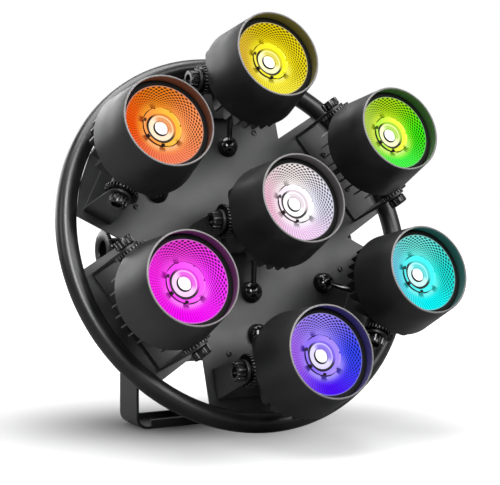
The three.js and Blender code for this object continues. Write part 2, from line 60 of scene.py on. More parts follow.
def fill(node, values):
    """Sets a node's sockets, each to a plain value or to another node's output."""
    for name, value in values.items():
        if isinstance(value, bpy.types.NodeSocket):
            node.id_data.links.new(value, node.inputs[name])
        else:
            node.inputs[name].default_value = value


def add_node(tree, kind, values=(), **settings):
    """Adds a node with settings of its own and values for its sockets."""
    node = tree.nodes.new(kind)
    for name, value in settings.items():
        setattr(node, name, value)
    fill(node, dict(values))
    return node


def math_node(tree, operation, *values):
    """The output of a Math node that is fed by sockets and plain numbers."""
    return add_node(tree, "ShaderNodeMath", enumerate(values), operation=operation).outputs[0]


world = bpy.data.worlds.new("studio")
scene.world = world
world.use_nodes = True
tree = world.node_tree
tree.nodes.clear()
# gloss sees only a fifth of the white paper, and the dim room for the rest
mirror_share = 0.2
ray = add_node(tree, "ShaderNodeLightPath").outputs
seen = math_node(tree, "MAXIMUM", ray["Is Camera Ray"], ray["Is Transmission Ray"])
paper_share = math_node(tree, "MULTIPLY_ADD", ray["Is Glossy Ray"], mirror_share, seen)
room = add_node(tree, "ShaderNodeBackground", {"Color": (0.8, 0.82, 0.85, 1), "Strength": 0.12})
paper = add_node(tree, "ShaderNodeBackground", {"Color": (1, 1, 1, 1), "Strength": 1.0})
choose = add_node(tree, "ShaderNodeMixShader", {
    "Fac": paper_share, 1: room.outputs[0], 2: paper.outputs[0]})
add_node(tree, "ShaderNodeOutputWorld", {"Surface": choose.outputs[0]})


def deselect():
    if bpy.context.object and bpy.context.object.mode != "OBJECT":
        bpy.ops.object.mode_set(mode="OBJECT")
    bpy.ops.object.select_all(action="DESELECT")


floor_size, floor_drop = 30, 0.0002
deselect()
bpy.ops.mesh.primitive_plane_add(size=floor_size, location=(0, 0, -floor_drop))
floor = bpy.context.object
floor.name = "floor"
floor_paper = bpy.data.materials.new("floor_paper")
floor_paper.use_nodes = True
tree = floor_paper.node_tree
where = add_node(tree, "ShaderNodeTexCoord")
# the shade is an oval, long from side to side in the picture
oval = add_node(tree, "ShaderNodeMapping", {
    "Vector": where.outputs["Object"], "Location": (-0.081, 0.075, 0),
    "Rotation": (0, 0, math.radians(-29)), "Scale": (0.196, 0.142, 1)}, vector_type="TEXTURE")
distance = add_node(tree, "ShaderNodeVectorMath", {0: oval.outputs[0]}, operation="LENGTH").outputs["Value"]
shade = math_node(tree, "POWER", 1 / math.e, math_node(tree, "POWER", distance, 1.5))
open_floor = math_node(tree, "SUBTRACT", 1.0, shade)
open_floor.node.use_clamp = True
far_off = add_node(tree, "ShaderNodeMapRange", {
    "Value": distance, "From Min": 2.0, "From Max": 8.0, "To Min": 0.65, "To Max": 1.1})
glow = add_node(tree, "ShaderNodeEmission", {
    "Strength": math_node(tree, "MULTIPLY", open_floor, far_off.outputs[0])})
matt = tree.nodes["Principled BSDF"]
fill(matt, {"Base Color": math_node(tree, "MULTIPLY", open_floor, 0.45), "Roughness": 0.9})
both = add_node(tree, "ShaderNodeAddShader", {0: matt.outputs[0], 1: glow.outputs[0]})
bounce = add_node(tree, "ShaderNodeBsdfDiffuse", {"Color": (0.27, 0.27, 0.275, 1)})
ray = add_node(tree, "ShaderNodeLightPath").outputs
plain = add_node(tree, "ShaderNodeMixShader", {
    "Fac": ray["Is Camera Ray"], 1: bounce.outputs[0], 2: both.outputs[0]})
fill(tree.nodes["Material Output"], {"Surface": plain.outputs[0]})
floor.data.materials.append(floor_paper)

for name, place, aim, size, power, colour in (
    ("overhead", (-0.2, 0.2, 2.3), (0, 0.05, 0), (1.8, 1.8), 72, (1, 1, 1)),
    ("front_right", (1.0, -2.4, 1.7), (0, 0, 0.25), (2.6, 1.3), 62, (1, 1, 1)),
    ("left", (-2.4, -0.2, 1.3), (0, 0, 0.25), (0.6, 1.2), 8, (1, 0.99, 0.97)),
    ("strip", (-1.05, -1.85, 1.6), (0, 0, 0.25), (0.6, 2.2), 90, (1, 1, 1)),
    ("back", (-0.8, 2.5, 1.0), (0, 0, 0.25), (3.2, 1.5), 44, (1, 1, 1)),
):
    lamp = bpy.data.lights.new(name, "AREA")
    lamp.shape = "RECTANGLE"
    lamp.size, lamp.size_y = size
    lamp.energy = power
    lamp.color = colour
    holder = bpy.data.objects.new(name, lamp)
    scene.collection.objects.link(holder)
    holder.visible_diffuse = name != "strip"
    holder.location = place
    holder.rotation_euler = (Vector(aim) - Vector(place)).to_track_quat("-Z", "Y").to_euler()

camera = bpy.data.cameras.new("camera")
camera.sensor_fit = "HORIZONTAL"
camera.sensor_width = 36
camera.lens = 86.12
camera.clip_end = 100
eye = bpy.data.objects.new("camera", camera)
scene.collection.objects.link(eye)
# the camera's right, up and back directions and its place, one in each column
eye.matrix_world = Matrix((
    (0.8748, 0.0178, -0.4841, -0.6621),
    (-0.4845, 0.0384, -0.8740, -1.1666),
    (0.0031, 0.9991, 0.0423, 0.2668),
    (0, 0, 0, 1),
))
scene.camera = eye


# Hoop: 23 mm steel tube rolled to a ring and butt-welded at the bottom, in
# satin black powder coat. The face plate's arms are welded to its inside.

lean = math.radians(19.5)
joints = {joint["name"]: joint for joint in frame["joints"]}
yoke_pin = Vector(joints["yoke_tilt"]["pos_m"])
leaning = Matrix.Translation(yoke_pin) @ Matrix.Rotation(math.pi / 2 - lean, 4, "X")


def activate(obj):
    """Selects one piece alone and makes it the active one."""
    deselect()
    obj.select_set(True)
    bpy.context.view_layer.objects.active = obj


def edit(obj):
    """Opens a piece in edit mode with all of it selected."""
    activate(obj)
    bpy.ops.object.mode_set(mode="EDIT")
    bpy.ops.mesh.select_mode(type="VERT")
    bpy.ops.mesh.select_all(action="SELECT")


def finish_edit(obj, name, angle=35):
    """Closes edit mode on a clean mesh, smooth where it turns by less than the angle."""
    bpy.ops.mesh.select_mode(type="VERT")
    bpy.ops.mesh.select_all(action="SELECT")
    bpy.ops.mesh.remove_doubles(threshold=2e-6)
    bpy.ops.mesh.normals_make_consistent(inside=False)
    bpy.ops.object.mode_set(mode="OBJECT")
    obj.name = name
    obj.data.name = name
    bpy.ops.object.shade_smooth_by_angle(angle=math.radians(angle))


def pick(obj, test, kind="FACE"):
    """Selects the faces, edges or vertices whose place passes the test."""
    bpy.ops.mesh.select_mode(type=kind)
    bpy.ops.object.mode_set(mode="OBJECT")
    mesh = obj.data
    for group in (mesh.vertices, mesh.edges, mesh.polygons):
        for item in group:
            item.select = False
    if kind == "FACE":
        for face in mesh.polygons:
            face.select = test(face.center, face.normal)
    elif kind == "EDGE":
        for edge in mesh.edges:
            a, b = (mesh.vertices[i].co for i in edge.vertices)
            edge.select = test((a + b) / 2, (b - a).normalized())
    else:
        for vertex in mesh.vertices:
            vertex.select = test(vertex.co, vertex.normal)
    bpy.ops.object.mode_set(mode="EDIT")


def set_place(obj, matrix):
    """Moves a finished piece to its place and puts the place into its mesh."""
    activate(obj)
    obj.matrix_world = matrix @ obj.matrix_world
    bpy.ops.object.transform_apply(location=True, rotation=True, scale=True)
    return obj


def colour_mix(tree, share, a, b, kind="MIX"):
    """The output of a colour mix of sockets, plain numbers and plain colours."""
    node = add_node(tree, "ShaderNodeMix", {0: share, 6: a, 7: b}, data_type="RGBA", blend_type=kind)
    return node.outputs[2]


def new_group(name, inputs, outputs):
    """Starts a shader node group with named sockets, and gives it with its inputs."""
    group = bpy.data.node_groups.new(name, "ShaderNodeTree")
    for way, sockets in (("INPUT", inputs), ("OUTPUT", outputs)):
        for socket, kind in sockets.items():
            group.interface.new_socket(socket, in_out=way, socket_type=f"NodeSocket{kind}")
    return group, group.nodes.new("NodeGroupInput").outputs


def coat_texture():
    """The orange-peel grain of powder coat, with a few faint rubbed patches."""
    group, given = new_group(
        "coat_texture",
        {"Grain Size": "Float", "Base Rough": "Float", "Spread": "Float", "Dark": "Color", "Pale": "Color"},
        {"Color": "Color", "Roughness": "Float", "Height": "Float"})
    where = add_node(group, "ShaderNodeTexCoord").outputs["Object"]
    per_metre = math_node(group, "DIVIDE", 1, given["Grain Size"])
    grain = add_node(group, "ShaderNodeTexNoise", {"Vector": where, "Scale": per_metre, "Detail": 2})
    patches = add_node(group, "ShaderNodeTexNoise", {"Vector": where, "Scale": 28, "Detail": 4})
    rubbed = add_node(group, "ShaderNodeMapRange", {
        "Value": patches.outputs["Fac"], "From Min": 0.3, "From Max": 0.7}).outputs[0]
    paler = math_node(group, "MULTIPLY", rubbed, grain.outputs["Fac"])
    add_node(group, "NodeGroupOutput", {
        "Color": colour_mix(group, paler, given["Dark"], given["Pale"]),
        "Roughness": math_node(group, "MULTIPLY_ADD", rubbed, given["Spread"], given["Base Rough"]),
        "Height": grain.outputs["Fac"]})
    return group


coat = coat_texture()


def coated(name, dark, pale, rough, bump, spread=0.12, grain=0.0011, metallic=0.0, specular=0.5):
    """A painted, moulded or cast finish, with its grain in colour, roughness and bump."""
    material = bpy.data.materials.new(name)
    material.use_nodes = True
    tree = material.node_tree
    texture = add_node(tree, "ShaderNodeGroup", {
        "Grain Size": grain, "Base Rough": rough, "Spread": spread,
        "Dark": (*dark, 1), "Pale": (*pale, 1)}, node_tree=coat).outputs
    relief = add_node(tree, "ShaderNodeBump", {
        "Strength": bump, "Distance": 0.0002, "Height": texture["Height"]})
    fill(tree.nodes["Principled BSDF"], {
        "Metallic": metallic, "Specular IOR Level": specular, "Base Color": texture["Color"],
        "Roughness": texture["Roughness"], "Normal": relief.outputs[0]})
    return material


satin_black = coated("satin_black", (0.010, 0.010, 0.011), (0.022, 0.022, 0.023), rough=0.27, bump=0.06)

hoop_radius, hoop_tube, hoop_front = 0.2135, 0.0115, 0.0355
weld_angle, weld_half_angle = -math.pi / 2, 0.012
weld_slope, weld_height = 0.0006, 0.0005
deselect()
bpy.ops.mesh.primitive_torus_add(
    major_radius=hoop_radius, minor_radius=hoop_tube, major_segments=160, minor_segments=36,
    location=(0, 0, hoop_front))
hoop = bpy.context.object
edit(hoop)
pick(hoop, lambda c, n: abs(math.atan2(c.y, c.x) - weld_angle) < weld_half_angle)
bpy.ops.mesh.inset(thickness=weld_slope, use_boundary=True)
bpy.ops.transform.shrink_fatten(value=weld_height)
finish_edit(hoop, "hoop_tube", 40)
hoop.data.materials.append(satin_black)
set_place(hoop, leaning)
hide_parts("hoop")
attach(hoop, "fixture")


# Face plate: one sheet of steel with six arms, powder coated black. The lamp
# brackets and the driver box are screwed to it with small socket screws.

powder_black = coated("powder_black", (0.022, 0.0225, 0.023), (0.046, 0.047, 0.048),
                      rough=0.36, bump=0.1, spread=0.1)
screw_black = coated("screw_black", (0.008, 0.008, 0.008), (0.016, 0.016, 0.016),
                     rough=0.3, bump=0.04, spread=0.1)


def paint_node(name, finish):
    """Gives a piece that is kept from the CAD model its finish."""
    materials = frame["nodes"][name].data.materials
    materials.clear()
    materials.append(finish)


for name in ("face_plate", "driver_housing", "rear_cover"):
    paint_node(name, powder_black)


def turned(name, rings, sides, finish=True):
    """A turned piece: rings of (radius, height) are extruded one from the other.
    A ring of radius 0 closes the piece on its axis."""
    deselect()
    closed = rings[0] == rings[-1]
    first = 0 if rings[0][0] > 0 else 1
    radius, height = rings[first]
    fill_type = "NOTHING" if closed else "TRIFAN"
    bpy.ops.mesh.primitive_circle_add(
        vertices=sides, radius=radius, fill_type=fill_type, location=(0, 0, height))
    obj = bpy.context.object
    bpy.ops.object.transform_apply(location=True, rotation=True, scale=True)
    edit(obj)
    if not closed:
        bpy.ops.mesh.region_to_loop()
    for next_radius, next_height in rings[first + 1:]:
        bpy.ops.mesh.extrude_region_move(TRANSFORM_OT_translate={"value": (0, 0, next_height - height)})
        if next_radius == 0:
            bpy.ops.mesh.merge(type="CENTER")
            break
        share = next_radius / radius
        bpy.ops.transform.resize(value=(share, share, 1), center_override=(0, 0, next_height))
        radius, height = next_radius, next_height
    if finish:
        finish_edit(obj, name)
    return obj


def copy_of(obj, name, matrix):
    """Copies a piece with its own mesh and sets the copy in its place."""
    activate(obj)
    bpy.ops.object.duplicate(linked=False)
    new = bpy.context.object
    new.name = name
    new.data.name = name
    return set_place(new, matrix)


def remove(*objs):
    deselect()
    for obj in objs:
        obj.select_set(True)
    bpy.ops.object.delete()


def socket_screw(name, head):
    """Pan-head screw with a recess for its key, its head on Z = 0."""
    screw = turned(name, [(0, 0), (head, 0), (head, 0.0009), (head * 0.86, 0.0017), (head * 0.5, 0.0019),
                          (head * 0.46, 0.0006), (0, 0.0006)], sides=24)
    screw.data.materials.append(screw_black)
    return screw


plate_front = 0.034
tab_offset, tab_up, tab_out = 0.040, 0.133, 0.127
plate_screw = socket_screw("plate_screw", 0.0034)
# the driver box has eight tabs, two on each side, with one screw in each
screw_spots = [(x, y) for x in (-tab_offset, tab_offset) for y in (-tab_up, tab_up)]
screw_spots += [(x, y) for x in (-tab_out, tab_out) for y in (-tab_offset, tab_offset)]
for number, (x, y) in enumerate(screw_spots, 1):
    spot = leaning @ Matrix.Translation((x, y, plate_front))
    screw = copy_of(plate_screw, f"plate_screw_{number}", spot)
    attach(screw, "fixture")
remove(plate_screw)


# Head brackets: 3 mm steel strip folded to a U, its ears narrowed to a round
# end at the tilt axis, powder coated and screwed to the face plate.

heads = {}
for name, joint in joints.items():
    if name.endswith("_tilt") and name != "yoke_tilt":
        name = name[:-len("_tilt")]
        forward = leaning.to_3x3() @ Vector((0, 0, 1))
        across = Vector(joint["axis"]).normalized()
        # only these two axes point to the right of their heads
        if name not in ("center", "bottom"):
            across = -across
        outward = forward.cross(across)
        turn = Matrix((across, outward, forward)).transposed().to_4x4()
        heads[name] = Matrix.Translation(Vector(joint["pos_m"])) @ turn


def block(place, size):
    """A block of the given size round a place, ready to be shaped."""
    deselect()
    bpy.ops.mesh.primitive_cube_add(size=1, location=place, scale=size)
    bpy.ops.object.transform_apply(location=True, rotation=True, scale=True)
    return bpy.context.object


def cut_across(direction, *distances):
    """Cuts lines into the piece in edit mode, square to a direction."""
    for distance in distances:
        bpy.ops.mesh.select_all(action="SELECT")
        bpy.ops.mesh.bisect(plane_co=Vector(direction) * distance, plane_no=direction)


def round_end(height, radius, turns):
    """Heights and half widths of a strip's round end, for turns in degrees."""
    turns = [math.radians(turn) for turn in turns]
    return [(height + radius * math.sin(turn), radius * math.cos(turn)) for turn in turns]


def raise_strip(level, half, steps):
    """Draws the picked faces up through steps of (height, half width)."""
    for next_level, next_half in steps:
        bpy.ops.mesh.extrude_region_move(TRANSFORM_OT_translate={"value": (0, 0, next_level - level)})
        bpy.ops.transform.resize(value=(1, next_half / half, 1), center_override=(0, 0, next_level))
        level, half = next_level, next_half


def round_bend(strip, x, z, radius, segments):
    """Rounds a strip's fold lines, which run along Y at plus and minus x."""
    def on_fold(c, d):
        return abs(abs(c.x) - x) < 1e-5 and abs(c.z - z) < 1e-5 and abs(d.y) > 0.9
    pick(strip, on_fold, "EDGE")
    bpy.ops.mesh.bevel(offset=radius, offset_type="OFFSET", segments=segments, affect="EDGES")


def modify(obj, kind, **settings):
    """Adds a modifier to a piece and applies it."""
    activate(obj)
    modifier = obj.modifiers.new(kind, kind)
    for name, value in settings.items():
        setattr(modifier, name, value)
    bpy.ops.object.modifier_apply(modifier=modifier.name)


def break_edges(obj, width, angle):
    """Takes the sharpness off the edges that turn by more than the angle."""
    modify(obj, "BEVEL", width=width, segments=2, limit_method="ANGLE", angle_limit=math.radians(angle))


ear_radius, ear_half = 0.0125, 0.017
base_low, base_high = -0.0687, -0.0657
bracket_half, bracket_inner = 0.064, 0.061
taper_start, taper_top = base_high + 0.006, -0.004
bracket_screw_out = 0.026
bracket = block((0, 0, (base_low + base_high) / 2), (2 * bracket_half, 2 * ear_half, base_high - base_low))
edit(bracket)
cut_across((1, 0, 0), bracket_inner, -bracket_inner)
pick(bracket, lambda c, n: n.z > 0.9 and abs(c.x) > bracket_inner)
raise_strip(base_high, ear_half, [(taper_start, ear_half), (taper_top, ear_radius + 0.0006)]
            + round_end(0, ear_radius, range(5, 90, 9)))
round_bend(bracket, bracket_half, base_low, radius=0.0042, segments=6)
round_bend(bracket, bracket_inner, base_high, radius=0.0012, segments=3)
finish_edit(bracket, "bracket", 30)
break_edges(bracket, width=0.0004, angle=40)
bracket.data.materials.append(powder_black)

bracket_screw = socket_screw("bracket_screw", 0.0030)
for name, head in heads.items():
    piece = copy_of(bracket, f"{name}_bracket_strip", head)
    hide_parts(f"{name}_bracket")
    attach(piece, "fixture")
    for label, x in (("a", -bracket_screw_out), ("b", bracket_screw_out)):
        spot = head @ Matrix.Translation((x, 0, base_high))
        screw = copy_of(bracket_screw, f"{name}_bracket_screw_{label}", spot)
        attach(screw, "fixture")
remove(bracket, bracket_screw)


# Lamp cans: die-cast aluminium, flared towards the back, painted satin black outside
# and in, with a painted highlight on the sharp front edge: a pale grey metal finish.

cast_black = coated("cast_black", (0.018, 0.018, 0.019), (0.038, 0.038, 0.040),
                    rough=0.34, bump=0.1, spread=0.14)
# pale grey metal: a painted highlight on the cans' front edges and the tips of the discs' teeth
highlight_metal = coated("highlight_metal", (0.18, 0.17, 0.17), (0.25, 0.24, 0.24),
                   rough=0.42, bump=0.03, spread=0.1, metallic=0.4)
ledge_black = coated("ledge_black", (0.004, 0.004, 0.004), (0.010, 0.010, 0.010),
                     rough=0.6, bump=0.04, spread=0.1, specular=0.15)

rim_z, skirt_z = 0.078, 0.016
rim_r, skirt_r = 0.050, 0.059
ledge_z, ledge_r = 0.0636, 0.0462
wall, back_r, back_z = 0.0022, 0.043, skirt_z - 0.001
floor_r, floor_z, bore_r, bore_back = 0.0460, 0.052, 0.0200, 0.030


def wall_radius(z):
    return rim_r + (rim_z - z) * (skirt_r - rim_r) / (rim_z - skirt_z)


can = turned("can", [
    (back_r, back_z), (skirt_r - 0.0008, back_z), (skirt_r, skirt_z),
    (wall_radius(0.05), 0.05), (wall_radius(rim_z - 0.0008), rim_z - 0.0008),
    (rim_r - 0.0003, rim_z - 0.0001), (rim_r - 0.0005, rim_z), (rim_r - 0.0017, rim_z),
    (rim_r - 0.0020, rim_z - 0.0005), (wall_radius(0.070) - wall, 0.070),
    (wall_radius(0.0648) - wall, 0.0648), (wall_radius(ledge_z) - wall, ledge_z),
    (ledge_r, ledge_z), (floor_r, floor_z), (bore_r, floor_z), (bore_r, bore_back), (back_r, bore_back),
    (back_r, back_z),
], sides=128)
lamp_glow_tints = {
    "center": (0.30, 0.26, 0.27), "top": (0.62, 0.50, 0.02), "upper_right": (0.10, 0.55, 0.04),
    "lower_right": (0.02, 0.50, 0.42), "bottom": (0.10, 0.06, 0.80), "lower_left": (0.60, 0.03, 0.50),
    "upper_left": (0.75, 0.16, 0.03),
}
inside_black_and_glow = {}
for name, tint in lamp_glow_tints.items():
    # black paint, tinted and made to glow a little with painted light of its own lamp
    dark = tuple(0.070 + 0.05 * c for c in tint)
    pale = tuple(0.100 + 0.07 * c for c in tint)
    inside_black_and_glow[name] = coated(f"inside_black_and_glow_{name}", dark, pale, rough=0.34, bump=0.04, spread=0.1,
                                metallic=0.2, specular=0.3)
    shader = inside_black_and_glow[name].node_tree.nodes["Principled BSDF"]
    fill(shader, {"Emission Color": (*tint, 1), "Emission Strength": 0.06})
for finish in (cast_black, highlight_metal, inside_black_and_glow["center"], ledge_black):
    can.data.materials.append(finish)
on_rim, on_inside, on_ledge = 1, 2, 3
# the front edge gets the pale metal of the painted highlight
for face in can.data.polygons:
    outwards = face.normal.x * face.center.x + face.normal.y * face.center.y
    if face.center.z > rim_z - 0.0006:
        face.material_index = on_rim
    elif face.normal.z > 0.9 or face.center.z < ledge_z + 0.0004 and outwards < 0:
        face.material_index = on_ledge
    elif outwards < 0:
        face.material_index = on_inside

for name, head in heads.items():
    piece = copy_of(can, f"{name}_can_shell", head)
    piece.data.materials[on_inside] = inside_black_and_glow[name]
    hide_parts(f"{name}_can")
    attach(piece, f"{name}_head")
remove(can)


# Heat sinks: nine thin parallel fins behind each can, square to the tilt axis,
# with a round boss in the middle, of one casting with it and painted as it is.

fin_back, fin_front, fin_radius = -0.0055, 0.0165, 0.0570
fin_pitch, fin_thick, fin_count = 0.011, 0.0017, 9
core_radius, core_front = 0.0435, 0.031
boss_radius, boss_back = 0.020, -0.0100
core = turned("core", [
    (0, boss_back), (boss_radius - 0.0015, boss_back), (boss_radius, boss_back + 0.0012),
    (boss_radius, skirt_z), (core_radius, skirt_z), (core_radius, core_front), (0, core_front),
], sides=96)
fins = block((-fin_pitch * (fin_count - 1) / 2, 0, (fin_back + fin_front) / 2),
             (fin_thick, 3 * fin_radius, 2 * (fin_front - fin_back)))
modify(fins, "ARRAY", count=fin_count, use_relative_offset=False, use_constant_offset=True,
       constant_offset_displace=(fin_pitch, 0, 0))
envelope = turned("envelope", [
    (0, fin_back), (fin_radius - 0.0035, fin_back), (fin_radius - 0.0010, fin_back + 0.0012),
    (fin_radius, fin_back + 0.0038), (fin_radius, fin_front), (0, fin_front),
], sides=128)
modify(fins, "BOOLEAN", operation="INTERSECT", object=envelope, solver="EXACT")
remove(envelope)
edit(fins)
finish_edit(fins, "fins", 30)
break_edges(fins, width=0.0003, angle=40)
core.data.materials.append(cast_black)
fins.data.materials.append(cast_black)
for name, head in heads.items():
    for model, label in ((core, "heat_sink_core"), (fins, "heat_sink_fins")):
        piece = copy_of(model, f"{name}_{label}", head)
        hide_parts(f"{name}_can")
        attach(piece, f"{name}_head")
remove(core, fins)


# Lugs and toothed discs: a round boss on each side of the casting ends in a
# disc whose teeth stop the head from slipping when its knob is tight.

gloss_black = coated("gloss_black", (0.006, 0.006, 0.006), (0.014, 0.014, 0.014),
                     rough=0.17, bump=0.03, spread=0.08)

lug_radius, lug_root, lug_end = 0.0150, 0.036, 0.0572
lug = turned("lug", [
    (0, lug_root), (lug_radius, lug_root), (lug_radius, lug_end - 0.0012), (lug_radius - 0.0010, lug_end),
    (0, lug_end),
], sides=48)
lug.data.materials.append(cast_black)


def draw_in(obj, count, beyond, middle, half, share):
    """Draws a rim in at places that are repeated round it. Their middle and half
    width are parts of the distance from one place to the next."""
    def in_groove(c, n):
        step = math.atan2(c.y, c.x) / (2 * math.pi) * count - middle
        return math.hypot(c.x, c.y) > beyond and abs((step + 0.5) % 1 - 0.5) < half
    pick(obj, in_groove, "VERT")
    bpy.ops.transform.resize(value=(share, share, 1), center_override=obj.matrix_world.translation)


teeth = 30
disc_radius, disc_middle, disc_thick = 0.0185, 0.0589, 0.0036
deselect()
bpy.ops.mesh.primitive_cylinder_add(
    vertices=4 * teeth, radius=disc_radius, depth=disc_thick, location=(0, 0, disc_middle))
disc = bpy.context.object
edit(disc)
draw_in(disc, teeth, disc_radius - 0.0005, middle=0.625, half=0.325, share=0.9)
pick(disc, lambda c, n: abs(n.z) > 0.9)
bpy.ops.mesh.inset(thickness=0.0026)
bpy.ops.mesh.extrude_region_move(TRANSFORM_OT_translate={"value": (0, 0, 0)})
bpy.ops.transform.resize(value=(1, 1, 0.8), center_override=(0, 0, disc_middle))
finish_edit(disc, "disc", 25)
disc.data.materials.append(gloss_black)
disc.data.materials.append(highlight_metal)
on_tooth = 1
# the tips of the teeth get the pale metal: a painted highlight
for face in disc.data.polygons:
    if math.hypot(face.center.x, face.center.y) > disc_radius - 0.0003:
        face.material_index = on_tooth

# lays a piece that was made along Z so that it points along X
along_x = Matrix.Rotation(math.pi / 2, 4, "Y")
for name, head in heads.items():
    for side, turn in (("a", math.pi), ("b", 0)):
        spot = head @ Matrix.Rotation(turn, 4, "Z") @ along_x
        for model, label, slot_name in ((lug, "lug", "cast_black"), (disc, "toothed_disc", "knob_black")):
            piece = copy_of(model, f"{name}_{label}_{side}", spot)
            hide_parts(f"{name}_can")
            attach(piece, f"{name}_head")
remove(lug, disc)


# Head knobs: moulded black knobs with twelve grip ribs and a blind recess,
# each on a 6 mm stud that goes through the ear into the head's lug.

ribs = 12
knob_radius, knob_start, knob_end = 0.0105, 0.0643, 0.0743
knob_recess = 0.0706
knob = turned("knob", [
    (0, knob_start), (0.0085, knob_start), (0.0092, 0.0650), (knob_radius, 0.0658), (knob_radius, 0.0722),
    (0.0102, 0.0736), (0.0092, knob_end), (0.0062, knob_end), (0.0055, knob_end - 0.0005),
    (0.0053, knob_recess), (0, knob_recess),
], sides=8 * ribs, finish=False)
draw_in(knob, ribs, knob_radius - 0.0005, middle=0.5, half=0.3, share=0.91)
finish_edit(knob, "knob", 32)
knob.data.materials.append(gloss_black)
stud_radius, stud_start, stud_end = 0.0030, 0.0507, 0.0655
stud = turned("stud", [
    (0, stud_start), (stud_radius - 0.0006, stud_start), (stud_radius, stud_start + 0.0006),
    (stud_radius, stud_end), (0, stud_end),
], sides=20)
zinc = coated("zinc_stud", (0.5, 0.5, 0.5), (0.62, 0.62, 0.6),
              rough=0.35, bump=0.05, spread=0.1, metallic=1.0)
stud.data.materials.append(zinc)
for name, head in heads.items():
    for side, turn in (("a", math.pi), ("b", 0)):
        spot = head @ Matrix.Rotation(turn, 4, "Z") @ along_x
        for model, label in ((knob, "grip"), (stud, "stud")):
            piece = copy_of(model, f"{name}_knob_{side}_{label}", spot)
            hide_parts(f"{name}_knob_{side}")
            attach(piece, f"{name}_knob_{side}")
remove(knob, stud)


# Reflectors: moulded bowls plated bright, with a pattern of small diamond
# dimples that get finer inwards. Each is held by a plain ring on the can's ledge.

lit = {
    # light in each bowl, in screen values: right, top, left and bottom side, then the middle
    "upper_left": ((245, 140, 85), (225, 120, 25), (240, 80, 5), (255, 128, 90), (255, 186, 62)),
    "top": ((225, 205, 20), (222, 195, 15), (222, 180, 60), (255, 240, 65), (255, 250, 40)),
    "upper_right": ((60, 225, 15), (170, 215, 25), (185, 210, 90), (75, 255, 80), (238, 252, 70)),
    "center": ((210, 210, 228), (236, 226, 222), (240, 182, 205), (255, 215, 255), (255, 255, 255)),
    "lower_left": ((240, 50, 245), (230, 60, 205), (250, 40, 230), (255, 0, 255), (250, 92, 248)),
    "lower_right": ((30, 215, 205), (110, 225, 215), (110, 195, 225), (10, 250, 255), (72, 250, 246)),
    "bottom": ((55, 70, 240), (150, 130, 245), (160, 98, 235), (80, 10, 255), (160, 134, 250)),
}
notches, notch_turn = 7, math.radians(4.5)


def screen(colour):
    """Turns a colour in screen values from 0 to 255 into light values."""
    return tuple((c / 255) ** 2.2 for c in colour)


def soft_step(tree, value, low, high, at_low=0.0, at_high=1.0):
    """The output of a soft step from one value to another."""
    return add_node(tree, "ShaderNodeMapRange", {
        "Value": value, "From Min": low, "From Max": high, "To Min": at_low, "To Max": at_high},
        interpolation_type="SMOOTHSTEP").outputs[0]


def places_on_lamp(tree, vector):
    """X and Y on the lamp, the distance and angle from its axis, the cosine of the
    angle from the upper right, and a wave that is highest at the holder's notches."""
    calc = partial(math_node, tree)
    x, y = add_node(tree, "ShaderNodeSeparateXYZ", {0: vector}).outputs[:2]
    radius = calc("SQRT", calc("MULTIPLY_ADD", x, x, calc("MULTIPLY", y, y)))
    angle = calc("ARCTAN2", y, x)
    facing = calc("DIVIDE", calc("ADD", x, y), calc("MULTIPLY", radius, math.sqrt(2)))
    lobe = calc("COSINE", calc("MULTIPLY", calc("SUBTRACT", angle, notch_turn), notches))
    return x, y, radius, angle, facing, lobe


